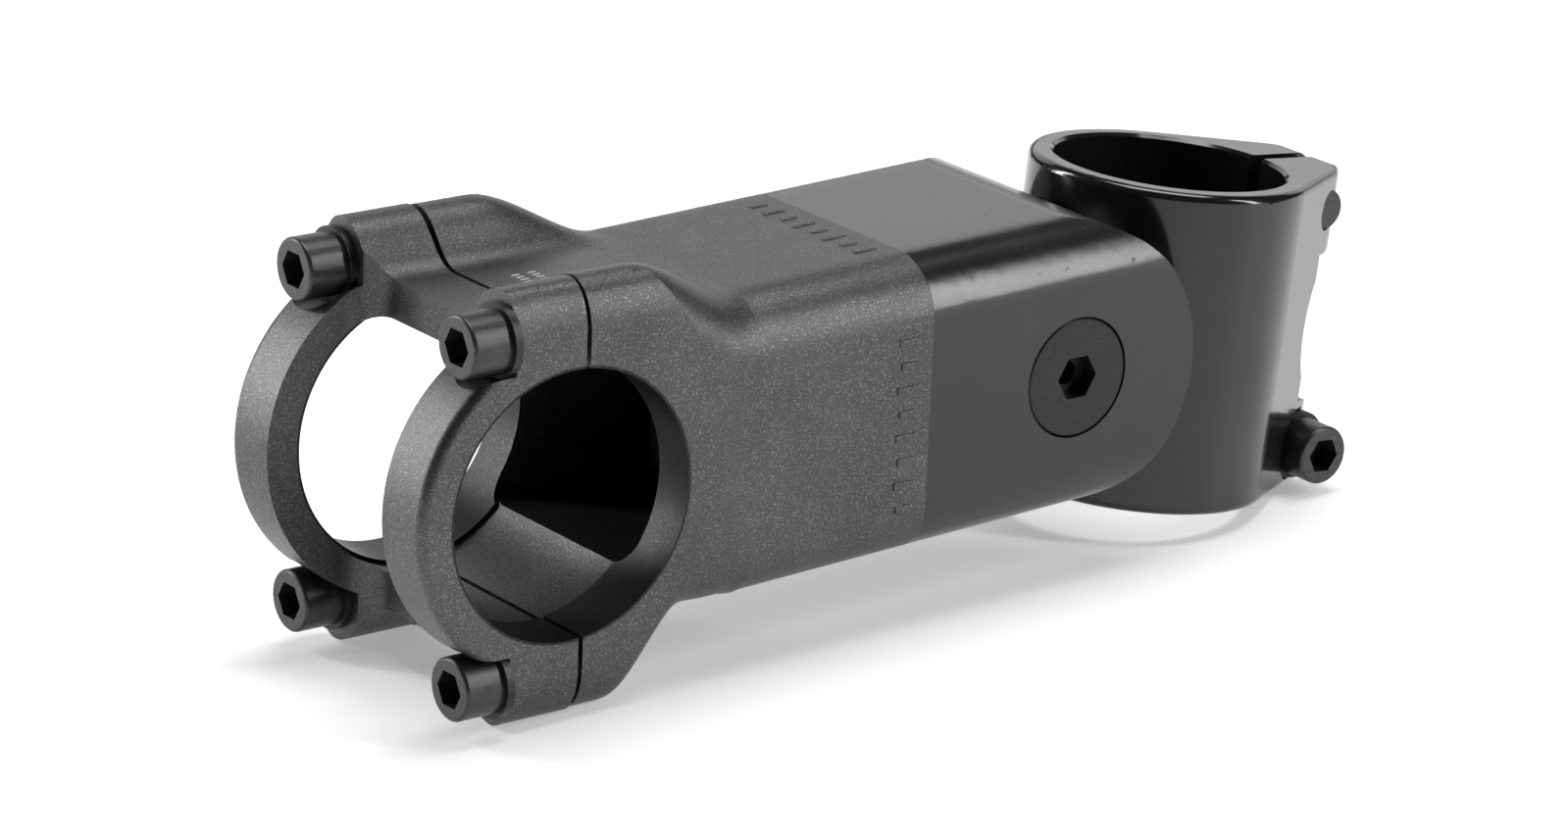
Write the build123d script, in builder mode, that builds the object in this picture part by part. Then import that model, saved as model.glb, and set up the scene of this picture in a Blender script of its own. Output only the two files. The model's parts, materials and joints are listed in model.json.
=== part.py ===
"""Suspension handlebar stem, millimetres.

Z runs up the steerer tube's axis, X forward to the handlebar and Y to the rider's left.
The origin is the centre of the steerer bore at the clamp's bottom face.
"""
from build123d import *
from math import cos, radians, sin, sqrt
import os

os.makedirs("parts", exist_ok=True)

# ---------------------------------------------------------------- driving sizes
# The stem's own frame: x forward along its axis from the steerer's axis, y left, z up.
stem_length = 100.0
stem_drop_angle = 6.0

# Steerer clamp
steerer_bore_radius = 14.3
steerer_wall = 3.0
steerer_height = 40.0
steerer_rim_round = 1.0
steerer_lead_in = 0.4
pocket_depth = 1.1
pocket_gap = 0.9
slit_width = 2.0
ear_end_radius = 8.5
ear_end_setback = 16.8
ear_lobe_radius = 5.6
ear_scallop_radius = 11.0
ear_bolt_setback = 20.2
ear_bolt_margin = 5.0
ear_seat_half_width = 7.4

# Stem body
body_half_width = 19.4
body_wall = 4.9
body_corner = 7.0
body_top_rear = 21.5
body_top_front = 19.3
body_bottom_rear = -14.25
body_bottom_front = -16.9
body_end_radius = 18.0
cavity_top = 15.4
cavity_bottom = -11.4
cavity_corner = 3.0
window_half_width = 13.8

# Handlebar clamp
bar_radius = 15.9
bar_relief = 0.5
clamp_wall = 4.3
cheek_step = 0.5
cheek_setback = 0.3
split_setback = 1.6
split_gap = 0.6
lobe_height = 25.5
lobe_peak = 15.9
lobe_corner = 5.6
saddle_height = 19.7
saddle_half_flat = 6.5
horn_start = 74.0
horn_full = 91.0
lower_horn_start = 82.0
lower_horn_full = 93.5
lobe_handle = 0.55
crossbar_thickness = 7.4
crossbar_round = 4.0

# Faceplate and steerer bolts
bolt_spacing_across = 32.7
bolt_spacing_up = 39.9
bolt_radius = 2.5
bolt_head_radius = 3.7
bolt_head_length = 5.0
bolt_edge_round = 0.4
bolt_hex = 4.0
bolt_socket_depth = 2.8
faceplate_bolt_length = 16.0
washer_thickness = 1.0
washer_radius = 4.3
spot_face_radius = 4.7
ear_thickness = 9.6
window_between = 11.7
plate_round = 1.2

# Pivot
pivot_ahead = 27.6
pivot_above = 2.75
hub_radius = 10.0
hub_half_width = 13.0
axle_radius = 5.0
axle_bore_radius = 3.0
disc_radius = 7.3
disc_thickness = 2.5
disc_hex = 5.0
disc_chamfer = 0.25
disc_socket_depth = 2.2
disc_vent_radius = 1.5
pivot_bolt_reach = 9.0
bearing_outer_radius = 8.0
bearing_width = 5.0
race_wall = 0.9
ball_count = 14
hub_shoulder_radius = 7.0
travel_angle = 6.0
rebound_angle = 1.0

# Tongue and suspension
neck_half_width = 11.0
tongue_half_width = 10.0
tongue_top = 0.5
tongue_bottom = -8.5
tongue_reach = 63.0
elastomer_half_width = 10.5
elastomer_length = 10.0
rear_elastomer_start = 38.6
front_elastomer_start = 51.6
elastomer_round = 1.0
pad_length = 12.0
ramp_start = 49.0
ramp_step = 1.0
wedge_angle = 10.0
wedge_travel = 1.5
wedge_nose = 4.0
wedge_half_width = 9.0
wedge_drop = 9.6
screw_radius = 2.0
screw_head_radius = 3.3
screw_head_length = 3.0
screw_hex = 3.0
screw_length = 14.0
screw_washer_thickness = 0.8
screw_washer_radius = 3.6
screw_seat = 4.6
wedge_round = 0.8

# Clearances
running_fit = 0.05
thread_fit = 0.05
through_hole_fit = 0.25
body_gap = 0.5
soft_gap = 0.3
disc_fit = 0.12

# ---------------------------------------------------------------- worked out from them
steerer_outer_radius = steerer_bore_radius + steerer_wall
cavity_half_width = body_half_width - body_wall
split_at = stem_length - split_setback
body_face = split_at - split_gap / 2
plate_face = split_at + split_gap / 2
plate_radius = bar_radius + clamp_wall
plate_seat = stem_length - split_setback + ear_thickness
disc_seat = body_half_width - disc_thickness
bolt_across = bolt_spacing_across / 2
bolt_up = bolt_spacing_up / 2
reach = 4 * steerer_height

STEM = Plane(
    origin=(0, 0, steerer_height / 2),
    x_dir=(cos(radians(stem_drop_angle)), 0, -sin(radians(stem_drop_angle))),
    z_dir=(sin(radians(stem_drop_angle)), 0, cos(radians(stem_drop_angle))),
)


def side_plane(across=0.0):
    """Plane along the stem at this distance to the left: local X forward, local Y up, normal right."""
    return Plane(origin=STEM.from_local_coords((0, across, 0)), x_dir=STEM.x_dir, z_dir=(0, -1, 0))


def section_plane(ahead):
    """Plane across the stem at this distance forward: local X left, local Y up, normal forward."""
    return Plane(origin=STEM.from_local_coords((ahead, 0, 0)), x_dir=(0, 1, 0), z_dir=STEM.x_dir)


def plan_plane(above):
    """Plane level with the stem's axis at this height: local X forward, local Y left, normal up."""
    return Plane(origin=STEM.from_local_coords((0, 0, above)), x_dir=STEM.x_dir, z_dir=STEM.z_dir)


def smooth_step(value, start, end):
    """Runs from 0 at start to 1 at end with level ends."""
    share = min(max((value - start) / (end - start), 0.0), 1.0)
    return share * share * (3 - 2 * share)


def between(value, start, end, first, last):
    """Straight change from first to last as value goes from start to end, held outside it."""
    share = min(max((value - start) / (end - start), 0.0), 1.0)
    return first + (last - first) * share


def hex_radius(across_flats):
    return across_flats / sqrt(3)


def draw_quarter(level, rise, peak, corner, half_width, up):
    """Left half of a top (up = 1) or bottom (up = -1) outline; returns the height where its side starts."""
    middle = (saddle_half_flat + peak) / 2
    crest = level + up * rise
    Line((0, level), (saddle_half_flat, level))
    Bezier((saddle_half_flat, level), (middle, level), (middle, crest), (peak, crest))
    Bezier(
        (peak, crest),
        (peak + lobe_handle * (half_width - peak), crest),
        (half_width, crest - up * corner * (1 - lobe_handle)),
        (half_width, crest - up * corner),
    )
    return crest - up * corner


def outline_face(plane, upper, lower, half_width):
    """Outline across the stem; upper and lower give the level, a lobe's rise and peak, and the corner."""
    with BuildSketch(plane) as outline:
        with BuildLine():
            side_top = draw_quarter(*upper, half_width, 1)
            side_bottom = draw_quarter(*lower, half_width, -1)
            Line((half_width, side_top), (half_width, side_bottom))
            mirror(about=Plane.YZ)
        make_face()
    return outline.sketch


def body_outline(ahead):
    """The body's outline at this distance forward, which grows its horns towards the clamp."""
    narrowed = cheek_step * smooth_step(ahead, horn_start, horn_full)
    halves = []
    for start, full, rear, front, up in (
        (horn_start, horn_full, body_top_rear, body_top_front, 1),
        (lower_horn_start, lower_horn_full, body_bottom_rear, body_bottom_front, -1),
    ):
        grown = smooth_step(ahead, start, full)
        level = between(ahead, 0, horn_start, rear, front)
        halves.append(
            (
                level + (up * saddle_height - front) * grown,
                (lobe_height - saddle_height) * grown,
                (body_half_width - body_corner) * (1 - grown) + lobe_peak * grown - narrowed,
                body_corner + (lobe_corner - body_corner) * grown,
            )
        )
    return outline_face(section_plane(ahead), *halves, body_half_width - narrowed)


def clamp_outline(setback=0.0):
    """The handlebar clamp's outline seen from the front, with its lobes lower by this setback."""
    half = (saddle_height, lobe_height - saddle_height - setback, lobe_peak, lobe_corner)
    mirrored = (-saddle_height, *half[1:])
    return outline_face(section_plane(split_at), half, mirrored, body_half_width)


def finish(builder, name):
    builder.part.label = name
    export_step(builder.part, f"parts/{name}.step")


def pivot_side_plane(across=0.0):
    """Side plane with its origin on the pivot's axis."""
    return Plane(
        origin=STEM.from_local_coords((pivot_ahead, across, pivot_above)),
        x_dir=STEM.x_dir,
        z_dir=(0, -1, 0),
    )


# ---------------------------------------------------------------- steerer clamp
ear_bolt_heights = (ear_bolt_margin, steerer_height - ear_bolt_margin)
scallop_centre = -(steerer_outer_radius + ear_scallop_radius)
front_side = Plane(origin=(0, 0, 0), x_dir=(1, 0, 0), z_dir=(0, -1, 0))
bearing_seat = hub_half_width - bearing_width
ramp_fall = sin(radians(wedge_angle)) / cos(radians(wedge_angle))


def ramp_height(ahead):
    """Height of the tongue's ramp at this distance forward."""
    return tongue_top - ramp_step - (ahead - ramp_start) * ramp_fall


screw_height = (ramp_height(tongue_reach) + tongue_bottom) / 2


def screw_plane(beyond):
    """Plane across the preload screw, this far past the tongue's end, facing forward and down the ramp."""
    ahead = tongue_reach + beyond * cos(radians(wedge_angle))
    above = screw_height - beyond * sin(radians(wedge_angle))
    tilt = radians(stem_drop_angle + wedge_angle)
    return Plane(
        origin=STEM.from_local_coords((ahead, 0, above)),
        x_dir=(0, 1, 0),
        z_dir=(cos(tilt), 0, -sin(tilt)),
    )


pivot_axis = Axis(STEM.from_local_coords((pivot_ahead, 0, pivot_above)), (0, 1, 0))

with BuildPart() as pocket:
    with BuildSketch(pivot_side_plane()):
        Circle(body_end_radius + pocket_gap)
    extrude(amount=reach, both=True)
    with BuildSketch(Plane.XY):
        Circle(steerer_outer_radius - pocket_depth)
    extrude(amount=reach, both=True, mode=Mode.SUBTRACT)

with BuildPart() as steerer_clamp:
    with BuildSketch(Plane.XY):
        Circle(steerer_outer_radius)
        with Locations((-ear_end_setback, 0)):
            Circle(ear_end_radius)
        make_hull()
    extrude(amount=steerer_height)
    # Rear outline: a lobe round each bolt and a scallop between them
    with BuildSketch(front_side):
        Rectangle(
            ear_bolt_setback + steerer_outer_radius + 1,
            steerer_height,
            align=(Align.CENTER, Align.MIN),
        )
        with Locations(*[(-ear_bolt_setback, height) for height in ear_bolt_heights]):
            Circle(ear_lobe_radius)
        with Locations((scallop_centre, steerer_height / 2)):
            Circle(ear_scallop_radius, mode=Mode.SUBTRACT)
    extrude(amount=reach, both=True, mode=Mode.INTERSECT)
    fillet(
        steerer_clamp.edges().group_by(Axis.Z)[-1] + steerer_clamp.edges().group_by(Axis.Z)[0],
        steerer_rim_round,
    )
    # Front hollowed where the body's round end nests
    add(pocket.part, mode=Mode.SUBTRACT)
    # Neck and hub round the pivot
    with BuildSketch(side_plane()):
        with Locations((pivot_ahead, pivot_above)):
            Circle(hub_radius)
            Rectangle(pivot_ahead, 2 * hub_radius - 1, align=(Align.MAX, Align.CENTER))
    extrude(amount=neck_half_width, both=True)
    with BuildSketch(pivot_side_plane()):
        Circle(hub_radius)
    extrude(amount=hub_half_width, both=True)
    # Tongue with a ramp for the preload wedge
    with BuildSketch(side_plane()):
        with BuildLine():
            Polyline(
                (pivot_ahead, tongue_bottom),
                (tongue_reach, tongue_bottom),
                (tongue_reach, ramp_height(tongue_reach)),
                (ramp_start, ramp_height(ramp_start)),
                (ramp_start, tongue_top),
                (pivot_ahead, tongue_top),
                close=True,
            )
        make_face()
    extrude(amount=tongue_half_width, both=True)
    with BuildSketch(pivot_side_plane()):
        Circle(hub_shoulder_radius)
    extrude(amount=hub_half_width, both=True, mode=Mode.SUBTRACT)
    for side in (1, -1):
        with BuildSketch(pivot_side_plane(side * hub_half_width)):
            Circle(bearing_outer_radius)
        extrude(amount=side * bearing_width, mode=Mode.SUBTRACT)
    with BuildSketch(screw_plane(0)):
        Circle(screw_radius + thread_fit)
    extrude(amount=screw_length, both=True, mode=Mode.SUBTRACT)
    # Steerer bore and slit
    with BuildSketch(Plane.XY):
        Circle(steerer_bore_radius)
        Rectangle(reach, slit_width, align=(Align.MAX, Align.CENTER))
    extrude(amount=steerer_height, mode=Mode.SUBTRACT)
    chamfer(
        steerer_clamp.edges().filter_by(GeomType.CIRCLE).filter_by(
            lambda edge: abs(edge.radius - steerer_bore_radius) < running_fit
        ),
        steerer_lead_in,
    )
    # Bolt holes, each with a seat for its head
    for height, side in zip(ear_bolt_heights, (1, -1)):
        with BuildSketch(front_side):
            with Locations((-ear_bolt_setback, height)):
                Circle(bolt_radius + thread_fit)
        extrude(amount=reach, both=True, mode=Mode.SUBTRACT)
        with BuildSketch(front_side.offset(-side * ear_seat_half_width)):
            with Locations((-ear_bolt_setback, height)):
                Circle(spot_face_radius)
        extrude(amount=-side * reach, mode=Mode.SUBTRACT)
finish(steerer_clamp, "steerer_clamp")

# ---------------------------------------------------------------- steerer bolts and washers
with BuildPart() as steerer_washers:
    for height, side in zip(ear_bolt_heights, (1, -1)):
        with BuildSketch(front_side.offset(-side * ear_seat_half_width)):
            with Locations((-ear_bolt_setback, height)):
                Circle(washer_radius)
                Circle(bolt_radius + through_hole_fit, mode=Mode.SUBTRACT)
        extrude(amount=-side * washer_thickness)
finish(steerer_washers, "steerer_washers")

for name, height, side in zip(("steerer_bolt_lower", "steerer_bolt_upper"), ear_bolt_heights, (1, -1)):
    seat = ear_seat_half_width + washer_thickness
    with BuildPart() as steerer_bolt:
        with BuildSketch(front_side.offset(-side * seat)):
            with Locations((-ear_bolt_setback, height)):
                Circle(bolt_head_radius)
        extrude(amount=-side * bolt_head_length)
        fillet(steerer_bolt.edges().sort_by(Axis.Y)[-side if side > 0 else 0], bolt_edge_round)
        with BuildSketch(front_side.offset(-side * seat)):
            with Locations((-ear_bolt_setback, height)):
                Circle(bolt_radius)
        extrude(amount=side * (seat + ear_seat_half_width))
        with BuildSketch(front_side.offset(-side * (seat + bolt_head_length))):
            with Locations((-ear_bolt_setback, height)):
                RegularPolygon(hex_radius(bolt_hex), 6)
        extrude(amount=side * bolt_socket_depth, mode=Mode.SUBTRACT)
    finish(steerer_bolt, name)

# ---------------------------------------------------------------- stem body
horn_stations = 13
cheek_edge = (
    (90.5, 27.0),
    (87.6, 23.4),
    (85.3, 20.1),
    (83.5, 16.9),
    (82.5, 12.7),
    (82.1, 8.0),
    (82.2, 2.3),
    (82.8, -3.5),
    (84.1, -8.5),
    (86.4, -13.4),
    (89.2, -17.5),
    (93.1, -21.5),
    (98.4, -24.5),
)

with BuildPart() as cheek:
    # Flat sides of the handlebar clamp, proud of the body
    with BuildSketch(side_plane()):
        with BuildLine():
            Spline(*cheek_edge)
            Polyline(
                cheek_edge[0],
                (stem_length, cheek_edge[0][1]),
                (stem_length, cheek_edge[-1][1]),
                cheek_edge[-1],
            )
        make_face()
    extrude(amount=reach, both=True)
    extrude(
        clamp_outline(cheek_setback),
        amount=reach,
        dir=STEM.x_dir,
        both=True,
        mode=Mode.INTERSECT,
    )
    with BuildSketch(side_plane()):
        Rectangle(2 * reach, 2 * reach)
    extrude(amount=window_half_width, both=True, mode=Mode.SUBTRACT)

with BuildPart() as bar_groove:
    # Relief in the middle of the bar's bore
    with BuildSketch(side_plane()):
        with Locations((stem_length, 0)):
            Circle(bar_radius + bar_relief)
    extrude(amount=window_between, both=True)

with BuildPart() as stem_body:
    for ahead in (0, horn_start):
        add(body_outline(ahead))
    loft(ruled=True)
    for step in range(horn_stations + 1):
        add(body_outline(horn_start + step * (stem_length - horn_start) / horn_stations))
    loft()
    # Round rear end about the pivot
    with BuildSketch(side_plane()):
        with Locations((pivot_ahead, pivot_above)):
            Circle(body_end_radius)
            Rectangle(reach, reach, align=(Align.MIN, Align.CENTER))
    extrude(amount=reach, both=True, mode=Mode.INTERSECT)
    add(cheek.part)
    # Hollow from the rear mouth to the handlebar bore
    with BuildSketch(section_plane(0)):
        with Locations((0, (cavity_top + cavity_bottom) / 2)):
            RectangleRounded(2 * cavity_half_width, cavity_top - cavity_bottom, cavity_corner)
    extrude(amount=stem_length - plate_radius, mode=Mode.SUBTRACT)
    with BuildSketch(section_plane(0)):
        with Locations((0, (cavity_top + cavity_bottom) / 2)):
            RectangleRounded(2 * window_half_width, cavity_top - cavity_bottom, cavity_corner)
    extrude(amount=stem_length, mode=Mode.SUBTRACT)
    # Room for the steerer clamp over the whole travel
    for angle in (-rebound_angle, 0, travel_angle):
        room = Cylinder(steerer_outer_radius + body_gap, reach, mode=Mode.PRIVATE)
        add(room.rotate(pivot_axis, -angle), mode=Mode.SUBTRACT)
    # Handlebar bore and clamp face
    with BuildSketch(side_plane()):
        with Locations((stem_length, 0)):
            Circle(bar_radius)
        with Locations((body_face, 0)):
            Rectangle(reach, reach, align=(Align.MIN, Align.CENTER))
    extrude(amount=reach, both=True, mode=Mode.SUBTRACT)
    add(bar_groove.part, mode=Mode.SUBTRACT)
    # Pivot bores and flush recesses for the pivot bolts
    with BuildSketch(pivot_side_plane()):
        Circle(axle_radius + thread_fit)
    extrude(amount=reach, both=True, mode=Mode.SUBTRACT)
    for side in (1, -1):
        with BuildSketch(pivot_side_plane(side * disc_seat)):
            Circle(disc_radius + disc_fit)
        extrude(amount=-side * disc_thickness * 2, mode=Mode.SUBTRACT)
    # Threaded holes for the faceplate bolts
    with BuildSketch(section_plane(split_at)):
        with GridLocations(bolt_spacing_across, bolt_spacing_up, 2, 2):
            Circle(bolt_radius + thread_fit)
    extrude(amount=-(faceplate_bolt_length - ear_thickness), mode=Mode.SUBTRACT)
finish(stem_body, "stem_body")

# ---------------------------------------------------------------- faceplate
with BuildPart() as faceplate:
    with BuildSketch(side_plane()):
        with Locations((stem_length, 0)):
            Circle(plate_radius)
    extrude(amount=body_half_width, both=True)
    fillet(faceplate.edges().filter_by(GeomType.CIRCLE), plate_round)
    with BuildSketch(section_plane(plate_face)):
        Rectangle(2 * body_half_width, 2 * (lobe_height + 1))
    extrude(amount=plate_seat - plate_face)
    with BuildSketch(section_plane(plate_face)):
        Rectangle(reach, reach)
    extrude(amount=-reach, mode=Mode.SUBTRACT)
    extrude(clamp_outline(), amount=reach, dir=STEM.x_dir, both=True, mode=Mode.INTERSECT)
    # Between the bolt ears the front is cut back to a crossbar, with round corners to the arcs
    with BuildSketch(plan_plane(0)):
        with Locations((plate_face + crossbar_thickness, 0)):
            RectangleRounded(
                2 * reach, 2 * window_between, crossbar_round, align=(Align.MIN, Align.CENTER)
            )
    extrude(amount=reach, both=True, mode=Mode.SUBTRACT)
    with BuildSketch(side_plane()):
        with Locations((stem_length, 0)):
            Circle(bar_radius)
    extrude(amount=reach, both=True, mode=Mode.SUBTRACT)
    add(bar_groove.part, mode=Mode.SUBTRACT)
    # Seats and clearance holes for the bolts
    with BuildSketch(section_plane(plate_seat)):
        with GridLocations(bolt_spacing_across, bolt_spacing_up, 2, 2):
            Circle(spot_face_radius)
    extrude(amount=reach, mode=Mode.SUBTRACT)
    with BuildSketch(section_plane(plate_seat)):
        with GridLocations(bolt_spacing_across, bolt_spacing_up, 2, 2):
            Circle(bolt_radius + through_hole_fit)
    extrude(amount=-reach, mode=Mode.SUBTRACT)
finish(faceplate, "faceplate")

# ---------------------------------------------------------------- faceplate bolts and washers
corners = {
    "top_left": (bolt_across, bolt_up),
    "top_right": (-bolt_across, bolt_up),
    "bottom_left": (bolt_across, -bolt_up),
    "bottom_right": (-bolt_across, -bolt_up),
}
head_seat = plate_seat + washer_thickness

for place, corner in corners.items():
    with BuildPart() as faceplate_washer:
        with BuildSketch(section_plane(plate_seat)):
            with Locations(corner):
                Circle(washer_radius)
                Circle(bolt_radius + through_hole_fit, mode=Mode.SUBTRACT)
        extrude(amount=washer_thickness)
    finish(faceplate_washer, f"faceplate_washer_{place}")

    with BuildPart() as faceplate_bolt:
        with BuildSketch(section_plane(head_seat)):
            with Locations(corner):
                Circle(bolt_head_radius)
        extrude(amount=bolt_head_length)
        fillet(faceplate_bolt.edges().sort_by(Axis.X)[-1], bolt_edge_round)
        with BuildSketch(section_plane(head_seat)):
            with Locations(corner):
                Circle(bolt_radius)
        extrude(amount=-faceplate_bolt_length)
        with BuildSketch(section_plane(head_seat + bolt_head_length)):
            with Locations(corner):
                RegularPolygon(hex_radius(bolt_hex), 6)
        extrude(amount=-bolt_socket_depth, mode=Mode.SUBTRACT)
    finish(faceplate_bolt, f"faceplate_bolt_{place}")

# ---------------------------------------------------------------- pivot
race_gap = running_fit / 2
inner_race_radius = axle_radius + running_fit + race_wall
outer_race_bore = bearing_outer_radius - running_fit - race_wall
ball_track = (inner_race_radius + outer_race_bore) / 2
ball_radius = (outer_race_bore - inner_race_radius) / 2 - race_gap
bearing_middle = bearing_seat + bearing_width / 2

with BuildPart() as pivot_axle:
    with BuildSketch(pivot_side_plane()):
        Circle(axle_radius)
        Circle(axle_bore_radius, mode=Mode.SUBTRACT)
    extrude(amount=disc_seat, both=True)
finish(pivot_axle, "pivot_axle")

with BuildPart() as bearing_spacer:
    with BuildSketch(pivot_side_plane()):
        Circle(inner_race_radius)
        Circle(axle_radius + running_fit, mode=Mode.SUBTRACT)
    extrude(amount=bearing_seat, both=True)
finish(bearing_spacer, "bearing_spacer")

for name, side in (("left", 1), ("right", -1)):
    with BuildPart() as bearing_outer:
        with BuildSketch(pivot_side_plane(side * bearing_seat)):
            Circle(bearing_outer_radius - running_fit)
            Circle(outer_race_bore, mode=Mode.SUBTRACT)
        extrude(amount=-side * bearing_width)
    finish(bearing_outer, f"bearing_outer_race_{name}")

    with BuildPart() as bearing_inner:
        with BuildSketch(pivot_side_plane(side * bearing_seat)):
            Circle(inner_race_radius)
            Circle(axle_radius + running_fit, mode=Mode.SUBTRACT)
        extrude(amount=-side * bearing_width)
    finish(bearing_inner, f"bearing_inner_race_{name}")

    with BuildPart(pivot_side_plane(side * bearing_middle)) as bearing_balls:
        with PolarLocations(ball_track, ball_count):
            Sphere(ball_radius)
    finish(bearing_balls, f"bearing_balls_{name}")

    with BuildPart() as thrust_spacer:
        with BuildSketch(pivot_side_plane(side * hub_half_width)):
            Circle(inner_race_radius)
            Circle(axle_radius + running_fit, mode=Mode.SUBTRACT)
        extrude(amount=-side * (cavity_half_width - hub_half_width))
    finish(thrust_spacer, f"thrust_spacer_{name}")

    with BuildPart() as pivot_bolt:
        with BuildSketch(pivot_side_plane(side * disc_seat)):
            Circle(disc_radius)
        extrude(amount=-side * disc_thickness)
        chamfer(pivot_bolt.edges().sort_by(Axis.Y)[-1 if side > 0 else 0], disc_chamfer)
        with BuildSketch(pivot_side_plane(side * disc_seat)):
            Circle(axle_bore_radius - thread_fit)
        extrude(amount=side * pivot_bolt_reach)
        with BuildSketch(pivot_side_plane(side * body_half_width)):
            RegularPolygon(hex_radius(disc_hex), 6)
        extrude(amount=side * disc_socket_depth, mode=Mode.SUBTRACT)
        with BuildSketch(pivot_side_plane()):
            Circle(disc_vent_radius)
        extrude(amount=reach, both=True, mode=Mode.SUBTRACT)
    finish(pivot_bolt, f"pivot_bolt_{name}")

# ---------------------------------------------------------------- suspension
with BuildPart() as preload_wedge:
    with BuildSketch(side_plane()):
        with BuildLine():
            thin_end = ramp_start + wedge_travel + body_gap
            nose_back = tongue_reach + wedge_travel + body_gap
            Polyline(
                (thin_end, tongue_top),
                (nose_back + wedge_nose, tongue_top),
                (nose_back + wedge_nose, tongue_top - wedge_drop),
                (nose_back, tongue_top - wedge_drop),
                (nose_back, ramp_height(nose_back) + running_fit),
                (thin_end, ramp_height(thin_end) + running_fit),
                close=True,
            )
        make_face()
    extrude(amount=wedge_half_width, both=True)
    fillet(preload_wedge.edges().filter_by(Axis(STEM.origin, STEM.z_dir)), wedge_round)
    with BuildSketch(screw_plane(0)):
        Circle(screw_radius + through_hole_fit)
    extrude(amount=reach, mode=Mode.SUBTRACT)
    with BuildSketch(screw_plane(screw_seat)):
        Circle(screw_washer_radius + through_hole_fit)
    extrude(amount=reach, mode=Mode.SUBTRACT)
finish(preload_wedge, "preload_wedge")

with BuildPart() as preload_washer:
    with BuildSketch(screw_plane(screw_seat)):
        Circle(screw_washer_radius)
        Circle(screw_radius + through_hole_fit, mode=Mode.SUBTRACT)
    extrude(amount=screw_washer_thickness)
finish(preload_washer, "preload_washer")

with BuildPart() as preload_screw:
    with BuildSketch(screw_plane(screw_seat + screw_washer_thickness)):
        Circle(screw_head_radius)
    extrude(amount=screw_head_length)
    with BuildSketch(screw_plane(screw_seat + screw_washer_thickness)):
        Circle(screw_radius)
    extrude(amount=-screw_length)
    with BuildSketch(screw_plane(screw_seat + screw_washer_thickness + screw_head_length)):
        RegularPolygon(hex_radius(screw_hex), 6)
    extrude(amount=-screw_head_length / 2, mode=Mode.SUBTRACT)
finish(preload_screw, "preload_screw")


def soft_block(start, length, bottom, top):
    """Elastomer block with round edges, from this distance forward and between these heights."""
    with BuildPart() as block:
        with BuildSketch(plan_plane(bottom)):
            with Locations((start + length / 2, 0)):
                Rectangle(length, 2 * elastomer_half_width)
        extrude(amount=top - bottom)
        fillet(block.edges(), elastomer_round)
    return block


elastomer_top = cavity_top - soft_gap
elastomer_bottom = tongue_top + soft_gap
pad_start = tongue_reach - pad_length - elastomer_round
finish(
    soft_block(rear_elastomer_start, elastomer_length, elastomer_bottom, elastomer_top),
    "rear_elastomer",
)
finish(
    soft_block(front_elastomer_start, elastomer_length, elastomer_bottom, elastomer_top),
    "front_elastomer",
)
finish(
    soft_block(pad_start, pad_length, cavity_bottom + soft_gap, tongue_bottom - soft_gap),
    "rebound_pad",
)
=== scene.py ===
"""Suspension handlebar stem: finishes, small surface pieces, floor, studio light and camera."""
import json
import math

import bpy
from mathutils import Matrix, Vector


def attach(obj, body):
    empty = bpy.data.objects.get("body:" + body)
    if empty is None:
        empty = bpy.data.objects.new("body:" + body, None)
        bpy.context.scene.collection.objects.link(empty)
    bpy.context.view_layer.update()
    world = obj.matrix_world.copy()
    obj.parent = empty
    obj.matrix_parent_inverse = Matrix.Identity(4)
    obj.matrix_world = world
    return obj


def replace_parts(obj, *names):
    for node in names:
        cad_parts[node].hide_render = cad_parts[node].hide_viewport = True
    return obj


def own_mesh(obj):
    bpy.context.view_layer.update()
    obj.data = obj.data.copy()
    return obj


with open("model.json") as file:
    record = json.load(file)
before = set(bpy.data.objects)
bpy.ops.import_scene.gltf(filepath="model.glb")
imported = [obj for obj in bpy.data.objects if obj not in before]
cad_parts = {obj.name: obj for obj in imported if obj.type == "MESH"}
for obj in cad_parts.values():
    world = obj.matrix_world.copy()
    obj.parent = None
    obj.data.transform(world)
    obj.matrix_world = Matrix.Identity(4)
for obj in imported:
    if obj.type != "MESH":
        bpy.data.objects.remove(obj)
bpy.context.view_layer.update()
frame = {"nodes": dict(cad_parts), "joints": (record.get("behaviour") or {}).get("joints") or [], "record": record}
record = frame["record"]
nodes = frame["nodes"]

MM = 0.001

# ---------------------------------------------------------------- places worked out from the frame
mounts = {mount["name"]: mount for mount in record["mounts"]}
bar_centre = Vector(mounts["handlebar_clamp"]["pos_m"])
bar_radius = mounts["handlebar_clamp"]["dims"]["r_mm"] * MM
steerer_height = mounts["steerer_clamp"]["dims"]["length_mm"] * MM
joints = {joint["name"]: joint for joint in frame["joints"]}
pivot = Vector(joints["suspension_pivot"]["pos_m"])
ahead = Vector(joints["faceplate_removal"]["axis"]).normalized()
left = Vector((0, 1, 0))
above = ahead.cross(left)
stem_origin = Vector((0, 0, steerer_height / 2))
finish_line = 49.7 * MM


def stem_point(forward, across, up):
    """Place given along the stem's axis, to the left and up from the axis, in metres."""
    return stem_origin + ahead * forward + left * across + above * up


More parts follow.
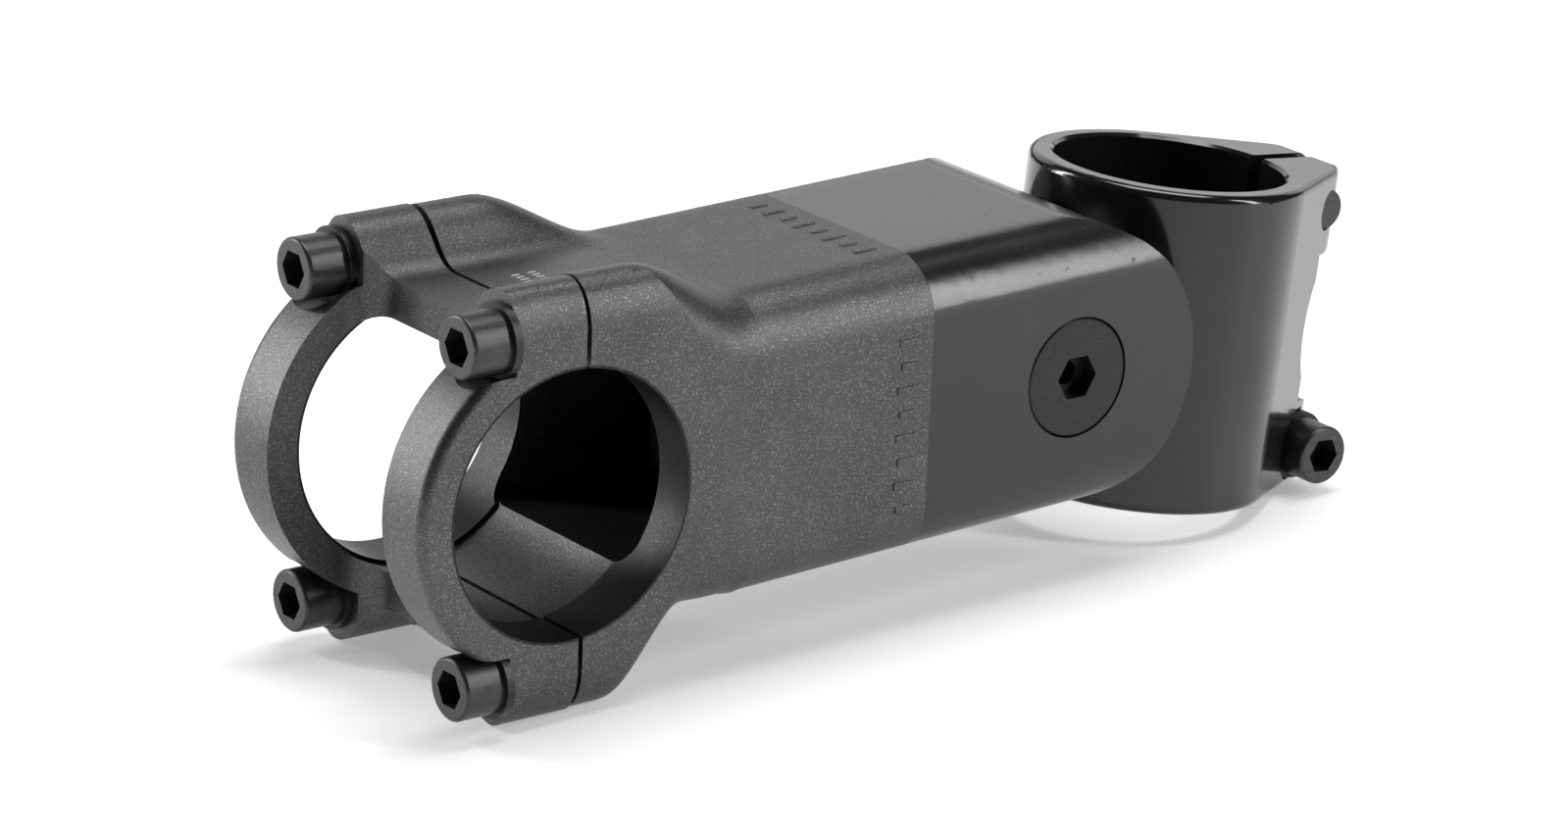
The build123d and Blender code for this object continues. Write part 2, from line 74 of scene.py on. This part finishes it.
# ---------------------------------------------------------------- shader maths
class Value:
    """Output socket of a node, with Python's operators for numbers."""

    def __init__(self, shop, socket):
        self.shop = shop
        self.socket = socket

    def pair(self, operation, first, second):
        return self.shop.node("ShaderNodeMath", {"operation": operation}, {0: first, 1: second})

    def __add__(self, other):
        return self.pair("ADD", self, other)

    def __radd__(self, other):
        return self.pair("ADD", other, self)

    def __sub__(self, other):
        return self.pair("SUBTRACT", self, other)

    def __rsub__(self, other):
        return self.pair("SUBTRACT", other, self)

    def __mul__(self, other):
        return self.pair("MULTIPLY", self, other)

    def __rmul__(self, other):
        return self.pair("MULTIPLY", other, self)

    def above(self, edge, softness):
        """0 below the edge and 1 above it, over this softness."""
        return self.shop.node(
            "ShaderNodeMapRange",
            {"interpolation_type": "SMOOTHSTEP"},
            {"Value": self, "From Min": edge - softness, "From Max": edge + softness},
        )


class Shop:
    """One material and the nodes that make it."""

    def __init__(self, name, **constants):
        self.material = bpy.data.materials.new(name)
        self.material.use_nodes = True
        self.tree = self.material.node_tree
        self.shader = self.tree.nodes["Principled BSDF"]
        self.place = self.node("ShaderNodeTexCoord", {}, {}, "Object")
        for socket, value in constants.items():
            self.shader.inputs[socket.replace("_", " ")].default_value = value

    def node(self, kind, settings, inputs, output=0):
        """Output of a new node of this kind, with its settings made and its inputs fed."""
        made = self.tree.nodes.new(kind)
        for name, value in settings.items():
            setattr(made, name, value)
        for name, value in inputs.items():
            self.connect(made.inputs[name], value)
        return Value(self, made.outputs[output])

    def connect(self, socket, value):
        """Links a value to a socket, or sets the socket to a plain number or colour."""
        if isinstance(value, Value):
            self.tree.links.new(value.socket, socket)
        else:
            socket.default_value = value

    def feed(self, **sockets):
        """Feeds the shader's sockets and returns the finished material."""
        for name, value in sockets.items():
            self.connect(self.shader.inputs[name.replace("_", " ")], value)
        return self.material

    def noise(self, size, detail=2.0, roughness=0.5, stretch=(1, 1, 1), shift=(0, 0, 0)):
        """Noise whose features are about this large, in metres."""
        at = self.node(
            "ShaderNodeMapping", {}, {"Vector": self.place, "Scale": stretch, "Location": shift}
        )
        return self.node(
            "ShaderNodeTexNoise",
            {},
            {"Vector": at, "Scale": 1 / size, "Detail": detail, "Roughness": roughness},
        )

    def shades(self, amount, dark, light):
        """Colour between two colours by this amount."""
        return self.node(
            "ShaderNodeMix",
            {"data_type": "RGBA"},
            {"Factor": amount, 6: (*dark, 1), 7: (*light, 1)},
            2,
        )

    def along(self, direction):
        """Distance of the surface along a direction, in metres from the frame's origin."""
        return self.node(
            "ShaderNodeVectorMath",
            {"operation": "DOT_PRODUCT"},
            {0: self.place, 1: tuple(direction)},
            "Value",
        )

    def root(self, value):
        """Square root of a value."""
        return self.node("ShaderNodeMath", {"operation": "SQRT"}, {0: value})

    def bump(self, height, distance):
        """Normal of a surface that rises this far, in metres, where the height is 1."""
        return self.node(
            "ShaderNodeBump", {}, {"Height": height, "Distance": distance}, "Normal"
        )


# ---------------------------------------------------------------- finishes
POLISHED_DARK = (0.006, 0.006, 0.0062)
BLASTED_LIGHT = (0.20, 0.20, 0.202)
blast_depth = 0.018 * MM
blasted_metallic = 0.9
bore_edge = 0.3 * MM
bore_blend = 0.05 * MM
finish_blend = 0.08 * MM


def blasted_parts(shop):
    """Colour, roughness and height of the bead-blasted skin, smoother in the bar's bore; painted glints lighten
    the colour at scattered grit facets.
    """
    grit = shop.noise(0.00020, 3.0, 0.6)
    # Scattered grit facets: real in the bump and roughness, and painted glints where they lighten the colour
    facets_and_painted_glints = shop.noise(0.00019, 1.0, 0.5, shift=(0.3, 0.1, 0.2)).above(0.62, 0.07)
    cloud = shop.noise(0.012, 3.0)
    handling = shop.noise(0.003, 4.0, 0.65).above(0.62, 0.12)
    forward = shop.along(ahead) - bar_centre.dot(ahead)
    upward = shop.along(above) - bar_centre.dot(above)
    from_bar = shop.root(forward * forward + upward * upward)
    outside = from_bar.above(bar_radius + bore_edge, bore_blend)
    # Painted highlight: the glint dots make the colour lighter, as sparkle from the facets would
    tone = (grit * 0.5 + cloud * 0.25 + facets_and_painted_glints * 0.45) * (0.25 + 0.75 * outside)
    rough = 0.36 + 0.10 * cloud - 0.10 * facets_and_painted_glints - 0.05 * handling
    return tone, rough, (grit + facets_and_painted_glints * 0.6) * (0.2 + 0.8 * outside)


def polished_parts(shop):
    """Colour, roughness and height of the polished anodised skin."""
    drawn = shop.noise(0.0003, 2.0, 0.5, stretch=(1, 1, 0.04))
    smear = shop.noise(0.02, 3.0)
    specks = shop.noise(0.0012, 2.0, 0.5, shift=(0.7, 0.2, 0.4)).above(0.74, 0.03)
    tone = drawn * 0.2 + smear * 0.3
    rough = 0.17 + 0.07 * smear + 0.05 * drawn + 0.10 * specks
    return tone, rough, drawn * 0.15 + specks * 0.3


def make_body_finish():
    """Bead blasted ahead of the finish line and polished behind it."""
    shop = Shop("body_two_tone")
    tone, rough, height = blasted_parts(shop)
    smooth_tone, smooth_rough, smooth_height = polished_parts(shop)
    line = stem_origin.dot(ahead) + finish_line
    blasted = shop.along(ahead).above(line, finish_blend)
    mixed_tone = tone * blasted + smooth_tone * (1 - blasted) * 0.15
    mixed_rough = rough * blasted + smooth_rough * (1 - blasted)
    mixed_height = height * blasted + smooth_height * (1 - blasted) * 0.25
    colour = shop.shades(mixed_tone, POLISHED_DARK, BLASTED_LIGHT)
    normal = shop.bump(mixed_height, blast_depth)
    metallic = blasted * blasted_metallic
    return shop.feed(
        Base_Color=colour, Roughness=mixed_rough, Normal=normal, Metallic=metallic
    )


def make_blasted_finish():
    """Bead blasted all over."""
    shop = Shop("blasted_black", Metallic=blasted_metallic)
    tone, rough, height = blasted_parts(shop)
    colour = shop.shades(tone, POLISHED_DARK, BLASTED_LIGHT)
    normal = shop.bump(height, blast_depth)
    return shop.feed(Base_Color=colour, Roughness=rough, Normal=normal)


def make_gloss_finish():
    """Polished and turned anodised skin with a thin clear coat and a little dust."""
    shop = Shop("gloss_black", Coat_Roughness=0.06)
    turned = shop.noise(0.0004, 2.0, 0.5, stretch=(0.05, 0.05, 1))
    smear = shop.noise(0.015, 3.0)
    dust = shop.noise(0.0006, 1.0, 0.5).above(0.78, 0.02)
    rough = 0.10 + 0.06 * smear + 0.03 * turned + 0.15 * dust
    tone = smear * 0.5 + dust * 0.5
    colour = shop.shades(tone, (0.006, 0.006, 0.0065), (0.016, 0.016, 0.017))
    normal = shop.bump(turned * 0.2 + smear * 0.5, 0.02 * MM)
    return shop.feed(
        Base_Color=colour, Roughness=rough, Normal=normal, Coat_Weight=0.2 * smear
    )


def make_steel_finish(name, dark, light, roughness):
    """Black-oxide steel with fine turning marks and lighter rubbed spots."""
    shop = Shop(name, Metallic=0.75)
    marks = shop.noise(0.00025, 2.0, 0.6, stretch=(0.08, 1, 1))
    mottle = shop.noise(0.0012, 3.0, 0.6)
    rubbed = shop.noise(0.0009, 4.0, 0.7, shift=(0.5, 0.5, 0.1)).above(0.66, 0.06)
    tone = marks * 0.4 + mottle * 0.4 + rubbed * 0.35
    rough = roughness + 0.12 * mottle - 0.08 * rubbed
    colour = shop.shades(tone, dark, light)
    normal = shop.bump(marks + mottle * 0.5, 0.012 * MM)
    return shop.feed(Base_Color=colour, Roughness=rough, Normal=normal)


def make_elastomer_finish():
    """Dull moulded polyurethane with a fine grain and a pale bloom."""
    shop = Shop("moulded_elastomer", Specular_IOR_Level=0.35)
    grain = shop.noise(0.0004, 3.0, 0.6)
    bloom = shop.noise(0.004, 3.0)
    tone = bloom * 0.6 + grain * 0.3
    colour = shop.shades(tone, (0.02, 0.02, 0.021), (0.06, 0.06, 0.063))
    normal = shop.bump(grain, 0.05 * MM)
    return shop.feed(Base_Color=colour, Roughness=0.55 + 0.25 * bloom, Normal=normal)


def make_floor_finish():
    """Pale floor with painted light: its emission glows more away from the stem, standing in for lamp light that
    falls off with distance.
    """
    near_glow, far_glow = (0.315, 0.315, 0.315), (1.0, 1.0, 1.0)
    glow_distance, glow_blend = 0.9, 0.5
    shop = Shop("pale_floor", Roughness=0.6, Specular_IOR_Level=0.2, Emission_Strength=1.0)
    grain = shop.noise(0.002, 3.0)
    cloud = shop.noise(0.3, 2.0)
    tone = grain * 0.3 + cloud * 0.5
    colour = shop.shades(tone, (0.88, 0.88, 0.88), (0.93, 0.93, 0.93))
    forward = shop.along(ahead)
    sideways = shop.along(left)
    distance = shop.root(forward * forward + sideways * sideways)
    # Painted light: emission rises from near_glow to far_glow beyond glow_distance from the stem, so the far floor
    # stays white where the lamps fall off
    painted_floor_glow = shop.shades(distance.above(glow_distance, glow_blend), near_glow, far_glow)
    return shop.feed(Base_Color=colour, Emission_Color=painted_floor_glow)


def dress(names, material):
    """Gives these nodes one material."""
    for name in names:
        mesh = nodes[name].data
        mesh.materials.clear()
        mesh.materials.append(material)


def nodes_with(*starts):
    """Names of the nodes that start with any of these words."""
    return [name for name in nodes if name.startswith(starts)]


dress(["stem_body"], make_body_finish())
dress(["faceplate"], make_blasted_finish())
dress(["steerer_clamp"], make_gloss_finish())
black_oxide = make_steel_finish("black_oxide", (0.02, 0.02, 0.02), (0.11, 0.11, 0.11), 0.30)
dress(nodes_with("faceplate_bolt", "steerer_bolt", "preload_screw"), black_oxide)
dark_washer = make_steel_finish("dark_washer", (0.012, 0.012, 0.012), (0.07, 0.07, 0.07), 0.32)
dress(nodes_with("faceplate_washer", "steerer_washers", "preload_washer"), dark_washer)
disc_black = make_steel_finish("disc_black", (0.016, 0.016, 0.016), (0.05, 0.05, 0.05), 0.34)
dress(nodes_with("pivot_bolt"), disc_black)
ground_steel = make_steel_finish("ground_steel", (0.35, 0.35, 0.35), (0.6, 0.6, 0.6), 0.22)
dress(nodes_with("bearing", "thrust_spacer", "pivot_axle"), ground_steel)
wedge_grey = make_steel_finish("wedge_grey", (0.05, 0.05, 0.05), (0.10, 0.10, 0.10), 0.40)
dress(["preload_wedge"], wedge_grey)
elastomer = make_elastomer_finish()
dress(["rear_elastomer", "front_elastomer", "rebound_pad"], elastomer)


# ---------------------------------------------------------------- rounded elastomer blocks in place of the imported ones
def stem_extent(name):
    """Least and greatest places of a node along the stem, to its left and up."""
    places = [vertex.co - stem_origin for vertex in nodes[name].data.vertices]
    spans = []
    for direction in (ahead, left, above):
        reaches = [place.dot(direction) for place in places]
        spans.append((min(reaches), max(reaches)))
    return spans


waist_level = 0.06
waist_shrink = (0.94, 0.97, 1)
block_corner = 0.8 * MM
pad_corner = 0.4 * MM
rounding_steps = 4
smooth_angle = math.radians(40)


def add_block(name, spans, rounding):
    """Rounded block over these spans along the stem, to its left and up, with a waist."""
    bpy.ops.object.select_all(action="DESELECT")
    bpy.ops.mesh.primitive_cube_add(size=1)
    block = bpy.context.object
    block.name = name
    bpy.ops.object.mode_set(mode="EDIT")
    for level in (waist_level, -waist_level, 0):
        bpy.ops.mesh.select_all(action="SELECT")
        bpy.ops.mesh.bisect(plane_co=(0, 0, level), plane_no=(0, 0, 1))
    bpy.ops.mesh.select_all(action="DESELECT")
    bpy.ops.object.mode_set(mode="OBJECT")
    for vertex in block.data.vertices:
        vertex.select = abs(vertex.co.z) < waist_level / 2
    bpy.ops.object.mode_set(mode="EDIT")
    bpy.ops.transform.resize(value=waist_shrink, center_override=(0, 0, 0))
    bpy.ops.object.mode_set(mode="OBJECT")
    middle = stem_point(*[(low + high) / 2 for low, high in spans])
    size = [high - low for low, high in spans]
    turn = Matrix((ahead, left, above)).transposed().to_4x4()
    block.data.transform(Matrix.Translation(middle) @ turn @ Matrix.Diagonal((*size, 1)))
    edges = block.modifiers.new("edges", "BEVEL")
    edges.width = rounding
    edges.segments = rounding_steps
    bpy.ops.object.modifier_apply(modifier="edges")
    bpy.ops.object.shade_smooth_by_angle(angle=smooth_angle)
    block.data.materials.append(elastomer)
    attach(block, "stem")
    return block


rebound, travel = [math.radians(limit) for limit in joints["suspension_pivot"]["range_deg"]]
pivot_forward = (pivot - stem_origin).dot(ahead)
squash_margin = 0.35 * MM
for node in ("rear_elastomer", "front_elastomer"):
    spans = stem_extent(node)
    height = spans[2][1] - spans[2][0]
    block = add_block(f"soft_{node}", spans, block_corner)
    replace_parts(block, node)
    rise = (spans[0][1] - pivot_forward) * math.sin(travel) + squash_margin
    top = stem_point(0, 0, spans[2][1])
    1 - rise / height
    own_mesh(block)
spans = stem_extent("rebound_pad")
clear = (spans[0][1] - pivot_forward) * math.sin(-rebound)
spans[2] = (spans[2][0], spans[2][1] - clear)
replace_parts(add_block("soft_rebound_pad", spans, pad_corner), "rebound_pad")


# ---------------------------------------------------------------- small surface pieces
def surface_at(name, start, direction):
    """Place and outward normal where a line from start first meets a node."""
    _, place, normal, _ = nodes[name].ray_cast(start, direction)
    return place, normal


def add_bar(place, along, out, length, width, height):
    """Small bar with round edges, half sunk in a surface that faces out."""
    bpy.ops.object.select_all(action="DESELECT")
    bpy.ops.mesh.primitive_cube_add(size=1)
    bar = bpy.context.object
    across = out.cross(along).normalized()
    turn = Matrix((across.cross(out), across, out)).transposed().to_4x4()
    size = Matrix.Diagonal((length, width, height, 1))
    bar.data.transform(Matrix.Translation(place) @ turn @ size)
    rounding = bar.modifiers.new("rounding", "BEVEL")
    rounding.width = 0.35 * min(length, width, height)
    rounding.segments = 3
    bpy.ops.object.modifier_apply(modifier="rounding")
    return bar


def join_bars(bars, name, material):
    """One piece made of these bars, which rides on the stem."""
    bpy.ops.object.select_all(action="DESELECT")
    for bar in bars:
        bar.select_set(True)
    bpy.context.view_layer.objects.active = bars[0]
    bpy.ops.object.join()
    piece = bars[0]
    piece.name = name
    piece.data.materials.append(material)
    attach(piece, "stem")


mark_gap = 2.9 * MM
mark_count = 8
mark_ahead = finish_line + 3.4 * MM
mark_lift = 1.2 * MM
mark_size = (3.0 * MM, 0.9 * MM, 0.34 * MM)
short_mark = 0.75
far_out = 60 * MM
side_bars = []
top_bars = []
for index in range(mark_count):
    step = (index - (mark_count - 1) / 2) * mark_gap
    for bars, start, direction in (
        (side_bars, stem_point(mark_ahead, far_out, step + mark_lift), -left),
        (side_bars, stem_point(mark_ahead, -far_out, step + mark_lift), left),
        (top_bars, stem_point(mark_ahead, step, far_out), -above),
    ):
        place, out = surface_at("stem_body", start, direction)
        length = mark_size[0] * (1.0 if index % 2 else short_mark)
        bars.append(add_bar(place, ahead, out, length, mark_size[1], mark_size[2]))
blasted_black = nodes["faceplate"].data.materials[0]
join_bars(side_bars, "raised_marks_sides", blasted_black)
join_bars(top_bars, "raised_marks_top", blasted_black)

# Fine alignment strokes printed on the saddle behind the clamp's face
stroke_rows = ((90.8 * MM, 7), (93.0 * MM, 5))
stroke_gap = 0.9 * MM
stroke_size = (1.1 * MM, 0.22 * MM, 0.04 * MM)
middle_stroke = 3
print_bars = []
for row, strokes in stroke_rows:
    for index in range(strokes):
        start = stem_point(row, (index - middle_stroke) * stroke_gap, far_out)
        place, out = surface_at("stem_body", start, -above)
        print_bars.append(add_bar(place, ahead, out, *stroke_size))
paint = Shop("white_paint")
grain = paint.noise(0.0003, 2.0)
white = paint.shades(grain, (0.55, 0.55, 0.55), (0.8, 0.8, 0.8))
paint.feed(Base_Color=white, Roughness=0.4 + 0.2 * grain)
join_bars(print_bars, "printed_strokes", paint.material)

# ---------------------------------------------------------------- floor, light and camera
def lowest(names, normal):
    """Least height of these nodes along a normal."""
    return min(vertex.co.dot(normal) for name in names for vertex in nodes[name].data.vertices)


most_lean = math.radians(20)
lean_steps = 24


def resting_normal():
    """Normal of the plane that the steerer clamp and the front both rest on."""
    low, high = 0.0, most_lean
    for _ in range(lean_steps):
        lean = (low + high) / 2
        normal = Vector((math.sin(lean), 0, math.cos(lean)))
        if lowest(["steerer_clamp"], normal) > lowest(["stem_body", "faceplate"], normal):
            low = lean
        else:
            high = lean
    return normal


floor_normal = resting_normal()
floor_height = lowest(["steerer_clamp", "stem_body", "faceplate"], floor_normal)
floor_size = 40.0
bpy.ops.object.select_all(action="DESELECT")
bpy.ops.mesh.primitive_plane_add(size=floor_size)
floor = bpy.context.object
floor.name = "floor"
turn = Vector((0, 0, 1)).rotation_difference(floor_normal).to_matrix().to_4x4()
floor.data.transform(Matrix.Translation(floor_normal * floor_height) @ turn)
floor.data.materials.append(make_floor_finish())

# The camera looks from ahead and to the left, a little above, rolled as the floor leans
camera_place = Vector((0.4829, 0.5222, 0.1918))
camera_azimuth = math.radians(140.684)
camera_rise = math.radians(14.986)
camera_roll = math.radians(7.232)
camera_lens = 136.53
back = Vector(
    (
        math.sin(camera_azimuth) * math.cos(camera_rise),
        -math.cos(camera_azimuth) * math.cos(camera_rise),
        math.sin(camera_rise),
    )
)
level_right = Vector((math.cos(camera_azimuth), math.sin(camera_azimuth), 0))
level_up = back.cross(level_right)
right = level_right * math.cos(camera_roll) + level_up * math.sin(camera_roll)
up = level_up * math.cos(camera_roll) - level_right * math.sin(camera_roll)
camera_data = bpy.data.cameras.new("camera")
camera_data.lens = camera_lens
camera_data.sensor_width = 36
camera_data.clip_start = 0.01
camera = bpy.data.objects.new("camera", camera_data)
bpy.context.scene.collection.objects.link(camera)
camera_turn = Matrix((right, up, back)).transposed().to_4x4()
camera.matrix_world = Matrix.Translation(camera_place) @ camera_turn
bpy.context.scene.camera = camera

lit_place = 50 * MM
stem_middle = stem_point(lit_place, 0, 0)
away = floor_normal.cross(right).normalized()


def add_light(name, to_right, behind, high, width, depth, power):
    """Soft box facing the stem, placed along the floor as the camera sees it, in metres."""
    data = bpy.data.lights.new(name, "AREA")
    data.shape = "RECTANGLE"
    data.size = width
    data.size_y = depth
    data.energy = power
    lamp = bpy.data.objects.new(name, data)
    bpy.context.scene.collection.objects.link(lamp)
    place = stem_middle + right * to_right + away * behind + floor_normal * high
    facing = (place - stem_middle).to_track_quat("Z", "Y").to_matrix().to_4x4()
    lamp.matrix_world = Matrix.Translation(place) @ facing


add_light("overhead", 0.1, 0.15, 1.0, 0.7, 0.5, 8)
add_light("back_box", 0.0, 1.3, 0.50, 2.4, 0.7, 6)
add_light("left_strip", -0.9, 0.25, 0.35, 0.12, 0.8, 6.5)
add_light("right_strip", 0.9, -0.2, 0.40, 0.10, 0.8, 5)

world_glow = 0.04
world = bpy.data.worlds.new("studio")
world.use_nodes = True
backdrop = world.node_tree.nodes["Background"]
backdrop.inputs["Color"].default_value = (1, 1, 1, 1)
backdrop.inputs["Strength"].default_value = world_glow
bpy.context.scene.world = world
bpy.context.scene.view_settings.view_transform = "Standard"
